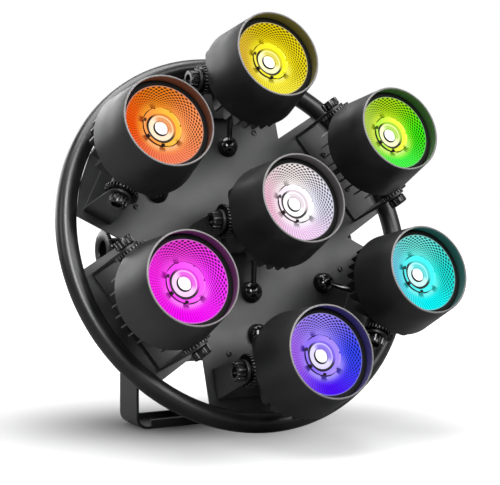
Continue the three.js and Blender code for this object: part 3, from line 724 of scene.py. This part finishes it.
def lamp_light():
    """The light that the lit engine throws on the bowl, painted as glow: one colour to each
    side, paler towards the middle, broken up by painted shade in the dimples."""
    tones = dict.fromkeys(("Right", "Top", "Left", "Bottom", "Middle"), "Color")
    group, given = new_group("lamp_light", {"Vector": "Vector", **tones},
                             {"Color": "Color", "Height": "Float"})
    calc, soft, mix = (partial(make, group) for make in (math_node, soft_step, colour_mix))
    x, y, radius, angle, facing, lobe = places_on_lamp(group, given["Vector"])

    # forty dimples in a ring, in staggered rows that get closer inwards
    across = calc("MULTIPLY", angle, 20.0)
    depth = calc("MULTIPLY", calc("LOGARITHM", radius, math.e), 40.0)
    one = calc("ABSOLUTE", calc("SINE", calc("ADD", across, depth)))
    two = calc("ABSOLUTE", calc("SINE", calc("SUBTRACT", across, depth)))
    dots = calc("POWER", calc("MULTIPLY", one, two), 1.5)

    # the painted shade in the dimples is darkest at the upper right, and faint on the other side
    side = soft(facing, -0.35, 0.85)
    other_side = calc("SUBTRACT", 1.0, side)
    outwards = soft(radius, 0.020, 0.036, 0.30, 1.0)
    strong = calc("MULTIPLY", calc("MULTIPLY", side, outwards), 1.9)
    dark = calc("MINIMUM", calc("MULTIPLY", dots, strong), 0.96)
    streak = calc("SINE", calc("MULTIPLY", angle, 80.0))
    streak = calc("MULTIPLY", calc("MULTIPLY_ADD", streak, 0.5, 0.5), other_side)
    faint = calc("MULTIPLY", streak, soft(radius, 0.022, 0.034, 0.16, 0.34))
    weak = calc("MULTIPLY", calc("MULTIPLY", two, other_side), 0.22)
    dark = calc("MINIMUM", calc("ADD", calc("ADD", dark, faint), weak), 0.95)

    # painted reflection: the holder's notches show again, darker, in the lowest part of the bowl
    near = soft(radius, 0.0235, 0.0290, 1.0, 0.0)
    notch_reflection = calc("MULTIPLY", soft(lobe, 0.35, 0.85), near)
    notch_reflection = calc("MULTIPLY", notch_reflection, soft(facing, 0.3, 0.75, 1.0, 0.0))

    sideways = mix(calc("GREATER_THAN", x, 0.0), given["Left"], given["Right"])
    upright = mix(calc("GREATER_THAN", y, 0.0), given["Bottom"], given["Top"])
    up_share = calc("DIVIDE", calc("MULTIPLY", y, y), calc("MULTIPLY", radius, radius))
    colour = mix(up_share, sideways, upright)
    inner = calc("MULTIPLY", soft(radius, 0.0235, 0.0330, 0.45, 0.0), soft(facing, 0.2, 0.8, 1.0, 0.35))
    colour = mix(inner, colour, given["Middle"])
    low = calc("MULTIPLY", soft(radius, 0.0225, 0.0290, 0.45, 0.0),
               soft(calc("DIVIDE", y, radius), -0.95, 0.1, 1.0, 0.0))
    colour = mix(low, colour, mix(0.4, given["Middle"], (1.0, 1.0, 1.0, 1)))
    deep = mix(1.0, mix(1.0, colour, colour, "MULTIPLY"), (0.35, 0.35, 0.35, 1), "MULTIPLY")
    colour = mix(notch_reflection, colour, deep)
    # the bowl's plain outer lip has no dimples
    lip = mix(0.65, colour, (0.20, 0.20, 0.20, 1))
    left_over = calc("SUBTRACT", 1.0, dark)
    shade = add_node(group, "ShaderNodeCombineColor", dict.fromkeys(range(3), left_over))
    colour = mix(1.0, colour, shade.outputs[0], "MULTIPLY")
    colour = mix(soft(radius, 0.0423, 0.0426), colour, lip)
    add_node(group, "NodeGroupOutput", {"Color": colour, "Height": dots})
    return group


light_group = lamp_light()


def lit_by_lamp(name, head, group, tones, strength, base, rough, metallic=0.0):
    """A finish that glows with the light of its lamp, and the node that gives it.
    The group takes places with X to the right and Y up on the whole light."""
    material = bpy.data.materials.new(name)
    material.use_nodes = True
    tree = material.node_tree
    where = add_node(tree, "ShaderNodeTexCoord")
    on_lamp = add_node(tree, "ShaderNodeMapping", {
        "Vector": where.outputs["Object"], "Location": head.to_translation(),
        "Rotation": leaning.to_euler("XYZ")}, vector_type="TEXTURE")
    light = add_node(tree, "ShaderNodeGroup", {"Vector": on_lamp.outputs[0]}, node_tree=group)
    for socket, tone in zip(list(light.inputs)[1:], tones):
        socket.default_value = (*tone, 1)
    fill(tree.nodes["Principled BSDF"], {
        "Base Color": (*base, 1), "Specular IOR Level": 0.1, "Metallic": metallic, "Roughness": rough,
        "Emission Color": light.outputs["Color"], "Emission Strength": strength})
    return material, light


def lit_plating(name, head):
    """Bright plating that shows the light of its lamp in every dimple."""
    tones = [screen(value) for value in lit[name]]
    material, light = lit_by_lamp(f"lit_plating_{name}", head, light_group, tones, strength=1.22,
                                  base=[0.03 * c for c in tones[0]], rough=0.22, metallic=0.9)
    relief = add_node(material.node_tree, "ShaderNodeBump", {
        "Strength": 0.5, "Distance": 0.0008, "Height": light.outputs["Height"]}, invert=True)
    fill(material.node_tree.nodes["Principled BSDF"], {"Normal": relief.outputs[0]})
    return material


front, throat = rim_z - 0.0127, rim_z - 0.0200
bowl_in, bowl_out = 0.0224, 0.0425
bowl_steps, bowl_rings = 12, []
for step in range(bowl_steps + 1):
    share = step / bowl_steps
    bowl_rings.append((bowl_in + (bowl_out - bowl_in) * share, throat + (front - throat) * share ** 1.6))
bowl = turned("bowl", [
    (bowl_in, throat - 0.0013), (0.0330, throat - 0.0002), (0.0432, front - 0.0014),
    (0.0434, front)] + bowl_rings[::-1] + [(bowl_in, throat - 0.0013)], sides=144)
ring_in, ring_out = 0.0437, 0.0478
ring = turned("ring", [
    (ring_in, front - 0.0013), (ring_out, front - 0.0013), (ring_out, front + 0.0006),
    (ring_out - 0.0020, front + 0.0006), (0.0455, front + 0.0011), (0.0441, front + 0.0011),
    (ring_in, front + 0.0007), (ring_in, front - 0.0013),
], sides=128)
ring.data.materials.append(ledge_black)
for name, head in heads.items():
    piece = copy_of(bowl, f"{name}_bowl", head)
    piece.data.materials.append(lit_plating(name, head))
    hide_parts(f"{name}_reflector")
    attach(piece, f"{name}_head")
    piece = copy_of(ring, f"{name}_retaining_ring", head)
    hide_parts(f"{name}_reflector")
    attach(piece, f"{name}_head")
remove(bowl, ring)


# Light engines: a dished holder with seven notches in its edge, pale with painted lamp
# light, clamps the light source, which shines through a clear stepped lens in a black seal ring.

def engine_light():
    """The glow of the lit engine, from the white lens to the holder in painted lamp light and shade."""
    group, given = new_group("engine_light", {"Vector": "Vector", "Edge": "Color", "Middle": "Color"},
                             {"Color": "Color"})
    calc, soft, mix = (partial(make, group) for make in (math_node, soft_step, colour_mix))
    x, _, radius, _, facing, lobe = places_on_lamp(group, given["Vector"])
    far_side = soft(facing, -0.05, 0.65)
    cream = mix(0.55, given["Middle"], (1.0, 1.0, 0.96, 1))
    # the lens, from its lip inwards: slope, step and white core
    warm = mix(1.0, given["Edge"], (0.8, 0.8, 0.8, 1), "MULTIPLY")
    slope = mix(calc("MULTIPLY", far_side, 0.9), cream, warm)
    lip = mix(0.35, given["Middle"], (1.1, 1.1, 1.1, 1))
    on_lip = soft(radius, 0.0118, 0.0132)
    lens = mix(on_lip, slope, lip)
    lens = mix(calc("MULTIPLY", on_lip, calc("SUBTRACT", 1.0, far_side)), lens, cream)
    deep = mix(1.0, given["Edge"], (0.35, 0.35, 0.35, 1), "MULTIPLY")
    step = mix(soft(facing, -0.3, 0.3), (0.01, 0.008, 0.008, 1), deep)
    lens = mix(soft(radius, 0.0083, 0.0087), step, lens)
    core = calc("MULTIPLY", soft(radius, 0.0045, 0.0085), far_side)
    core = mix(core, (1.3, 1.3, 1.3, 1), given["Edge"])
    # the step beside the core is painted shade, a dark crescent widest on its near side
    inner = calc("SUBTRACT", radius, calc("MULTIPLY", facing, 0.0010))
    lens = mix(soft(inner, 0.0072, 0.0075), core, lens)
    # the seal shows black, and lit from inside on its far side
    ring = mix(far_side, (0.008, 0.006, 0.006, 1), warm)
    inner = calc("SUBTRACT", radius, calc("MULTIPLY", facing, 0.0003))
    lens = mix(soft(inner, 0.0137, 0.0140), lens, ring)
    # the holder in painted lamp light, brightest at its right, with painted shade in the notches of its
    # edge and on its near wall
    tone = mix(soft(calc("DIVIDE", x, radius), -0.8, 0.5), given["Edge"], given["Middle"])
    notch = calc("MULTIPLY", soft(lobe, 0.66, 0.84), soft(radius, 0.0182, 0.0192))
    notch = calc("MULTIPLY", notch, soft(facing, -0.5, 0.3, 1.0, 0.0))
    wall = calc("MULTIPLY", soft(radius, 0.0211, 0.0212), soft(facing, -0.6, -0.3, 1.0, 0.0))
    notch = calc("MAXIMUM", notch, wall)
    # and a thin painted shadow line where its far edge meets the bowl
    far_edge = calc("MULTIPLY", soft(radius, 0.0200, 0.0204), soft(facing, 0.72, 0.9))
    notch = calc("MAXIMUM", notch, calc("MULTIPLY", far_edge, 0.9))
    tone = mix(notch, tone, (0.015, 0.01, 0.01, 1))
    add_node(group, "NodeGroupOutput", {"Color": mix(soft(radius, 0.0163, 0.0165), lens, tone)})
    return group


engine_group = engine_light()

holder_z, lens_z = rim_z - 0.0175, rim_z - 0.0228
holder_in, holder_back = 0.0152, lens_z - 0.0040
lobes = turned("lobes", [
    (holder_in, holder_back), (0.0206, holder_back), (0.0214, holder_z - 0.0014),
    (0.0210, holder_z - 0.0004), (0.0202, holder_z), (0.0190, holder_z - 0.0005),
    (0.0179, holder_z - 0.0018), (0.0171, lens_z + 0.0004), (0.0165, lens_z - 0.0004),
    (holder_in, lens_z - 0.0006), (holder_in, holder_back),
], sides=24 * notches, finish=False)
draw_in(lobes, notches, 0.0200, middle=0, half=0.08, share=0.92)
finish_edit(lobes, "lobes", 30)
seal_in = 0.0142
seal = turned("seal", [
    (seal_in, lens_z - 0.0020), (0.0160, lens_z - 0.0020), (0.0162, lens_z + 0.0012),
    (0.0160, lens_z + 0.0018), (0.0150, lens_z + 0.0019), (0.0144, lens_z + 0.0014),
    (seal_in, lens_z + 0.0002), (seal_in, lens_z - 0.0020),
], sides=96)
lens_radius = 0.0141
lens = turned("lens", [
    (0, lens_z - 0.003), (lens_radius, lens_z - 0.003), (lens_radius, lens_z - 0.0006),
    (0.0130, lens_z - 0.0002), (0.0112, lens_z + 0.0001), (0.0086, lens_z - 0.0004),
    (0.0083, lens_z - 0.0012), (0.0076, lens_z - 0.0012), (0.0074, lens_z - 0.0002),
    (0.0055, lens_z + 0.0003), (0.0030, lens_z + 0.0006), (0, lens_z + 0.0007),
], sides=96)
for name, head in heads.items():
    *sides, middle = [screen(value) for value in lit[name]]
    edge = tuple(0.35 * middle[i] + 0.65 * sum(side[i] for side in sides) / 4 for i in range(3))
    glow, _ = lit_by_lamp(f"lit_engine_{name}", head, engine_group, (edge, middle), strength=1.12,
                          base=(0.01, 0.01, 0.01), rough=0.25)
    upright = Matrix.Translation(head.to_translation()) @ leaning.to_3x3().to_4x4()
    upright = upright @ Matrix.Rotation(notch_turn, 4, "Z")
    for model, label in ((lobes, "engine_holder"), (lens, "engine_lens"), (seal, "lens_seal")):
        piece = copy_of(model, f"{name}_{label}", upright)
        piece.data.materials.append(glow)
        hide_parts(f"{name}_emitter")
        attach(piece, f"{name}_head")
remove(lobes, seal, lens)


# Head leads: a glossy domed gland on the plate for each head, and a moulded
# black lead that comes out of its side and bends up into the heat sink.

lead_gloss = coated("lead_gloss", (0.004, 0.004, 0.004), (0.010, 0.010, 0.010),
                    rough=0.12, bump=0.03, spread=0.08)
plate_z = base_low
gland_radius, dome_radius, dome_start, dome_rise = 0.0128, 0.0120, plate_z + 0.0030, 0.0105
lead_radius = 0.0032
dome = [(0, plate_z), (gland_radius - 0.0002, plate_z), (gland_radius, plate_z + 0.0010),
        (gland_radius - 0.0005, plate_z + 0.0022)]
for degrees in range(0, 90, 12):
    turn = math.radians(degrees)
    dome.append((dome_radius * math.cos(turn), dome_start + dome_rise * math.sin(turn)))
dome.append((0, dome_start + dome_rise))
gland = turned("gland", dome, sides=48)
gland.data.materials.append(lead_gloss)
for name, head in heads.items():
    gland_out = 0.064 if name == "center" else 0.052
    piece = copy_of(gland, f"{name}_gland", head @ Matrix.Translation((0, -gland_out, 0)))
    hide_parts(f"{name}_lead")
    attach(piece, "fixture")

    deselect()
    bpy.ops.curve.primitive_bezier_curve_add(location=(0, 0, 0))
    lead = bpy.context.object
    start = Vector((0, -gland_out + 0.004, plate_z + 0.0085))
    end = Vector((0, -0.016, -0.0100))
    first, last = lead.data.splines[0].bezier_points
    first.handle_left_type = first.handle_right_type = "FREE"
    last.handle_left_type = last.handle_right_type = "FREE"
    first.co = start
    first.handle_left = start + Vector((0, -0.01, -0.004))
    first.handle_right = start + Vector((0, 0.036, 0.012))
    last.co = end
    last.handle_left = end + Vector((0, 0.002, -0.026))
    last.handle_right = end + Vector((0, 0, 0.01))
    lead.data.resolution_u = 28
    lead.data.bevel_depth = lead_radius
    lead.data.bevel_resolution = 6
    lead.data.use_fill_caps = True
    bpy.ops.object.convert(target="MESH")
    lead = bpy.context.object
    edit(lead)
    finish_edit(lead, f"{name}_lead_tube", 40)
    lead.data.materials.append(lead_gloss)
    set_place(lead, head)
    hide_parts(f"{name}_lead")
    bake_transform(lead)
remove(gland)


# Yoke: 48 by 3 mm steel bar bent to a U, with round ends at the tilt axis and
# its edges folded up along the foot, in satin black powder coat.

bar_half, bar_inner, bar_width, bar_thick = 0.129, 0.126, 0.048, 0.003
foot_half, foot_edge, foot_fold = 0.1115, 0.021, 0.007
arm_root, pin_height = 0.030, yoke_pin.z
yoke = block((0, 0, bar_thick / 2), (2 * bar_half, bar_width, bar_thick))
edit(yoke)
cut_across((1, 0, 0), bar_inner, foot_half, -foot_half, -bar_inner)
cut_across((0, 1, 0), foot_edge, -foot_edge)
pick(yoke, lambda c, n: n.z > 0.9 and abs(c.x) > bar_inner)
raise_strip(bar_thick, bar_width / 2, [(arm_root, bar_width / 2), (pin_height, bar_width / 2)]
            + round_end(pin_height, bar_width / 2, range(8, 90, 8)))
pick(yoke, lambda c, n: n.z > 0.9 and abs(c.x) < foot_half and abs(c.y) > foot_edge and c.z < 0.01)
bpy.ops.mesh.extrude_region_move(TRANSFORM_OT_translate={"value": (0, 0, foot_fold)})
# the cut lines on the flat are taken out again, because a bend folds over them
bpy.ops.mesh.select_all(action="SELECT")
bpy.ops.mesh.dissolve_limited(angle_limit=math.radians(0.5))
round_bend(yoke, bar_half, 0, radius=0.014, segments=10)
round_bend(yoke, bar_inner, bar_thick, radius=0.011, segments=10)
finish_edit(yoke, "yoke_bar", 30)
clamp_hole, side_hole, side_hole_out = 0.0065, 0.0055, 0.055
for x, radius in ((0, clamp_hole), (-side_hole_out, side_hole), (side_hole_out, side_hole)):
    deselect()
    bpy.ops.mesh.primitive_cylinder_add(vertices=40, radius=radius, depth=0.02, location=(x, 0, 0))
    drill = bpy.context.object
    modify(yoke, "BOOLEAN", operation="DIFFERENCE", object=drill, solver="EXACT")
    remove(drill)
break_edges(yoke, width=0.0005, angle=50)
yoke.data.materials.append(satin_black)
set_place(yoke, Matrix.Translation((0, yoke_pin.y, 0)))
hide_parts("yoke")
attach(yoke, "yoke")


# Yoke knobs: moulded hand wheels, a thin ribbed disc on a long hollow neck,
# each on a 10 mm stud that clamps the yoke's arm to the driver box.

wheel_ribs, wheel_radius, neck_radius = 24, 0.0235, 0.0140
wheel_start = bar_half + 0.0003
disc_start = wheel_start + 0.026
disc_end = disc_start + 0.005
wheel = turned("wheel", [
    (0, wheel_start), (neck_radius - 0.0006, wheel_start), (neck_radius, wheel_start + 0.0006),
    (neck_radius, disc_start - 0.005), (0.0160, disc_start - 0.001), (wheel_radius - 0.0020, disc_start),
    (wheel_radius, disc_start + 0.0014), (wheel_radius, disc_start + 0.0036),
    (wheel_radius - 0.0009, disc_end - 0.0004), (wheel_radius - 0.0021, disc_end),
    (0.0124, disc_end), (0.0112, disc_end - 0.0012), (0.0108, disc_end - 0.0135),
    (0.0100, disc_end - 0.0140), (0, disc_end - 0.0140),
], sides=6 * wheel_ribs, finish=False)
draw_in(wheel, wheel_ribs, wheel_radius - 0.0005, middle=0.5, half=0.25, share=0.96)
finish_edit(wheel, "wheel", 32)
wheel.data.materials.append(gloss_black)
pin_radius, pin_start, pin_end = 0.0050, 0.1180, wheel_start + 0.001
pin = turned("pin", [
    (0, pin_start), (pin_radius - 0.0008, pin_start), (pin_radius, pin_start + 0.0008),
    (pin_radius, pin_end), (0, pin_end),
], sides=32)
pin.data.materials.append(zinc)
for side, turn in (("left", math.pi), ("right", 0)):
    spot = Matrix.Translation(yoke_pin) @ Matrix.Rotation(turn, 4, "Z") @ along_x
    for model, label in ((wheel, "grip"), (pin, "stud")):
        piece = copy_of(model, f"yoke_knob_{side}_{label}", spot)
        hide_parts(f"yoke_knob_{side}")
        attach(piece, f"yoke_knob_{side}")
remove(wheel, pin)


# Electrical parts of the driver box: the power supply's metal case, the
# control board and the power inlet, seen through the vents and from behind.

case_metal = coated("case_metal", (0.42, 0.43, 0.44), (0.60, 0.61, 0.62), rough=0.38, bump=0.05,
                    spread=0.15, grain=0.002, metallic=0.9)
board_green = coated("board_green", (0.01, 0.10, 0.05), (0.02, 0.16, 0.08), rough=0.4, bump=0.03)
inlet_blue = coated("inlet_blue", (0.02, 0.06, 0.18), (0.03, 0.09, 0.26), rough=0.4, bump=0.03)
paint_node("power_supply", case_metal)
paint_node("control_board", board_green)
paint_node("power_inlet", inlet_blue)
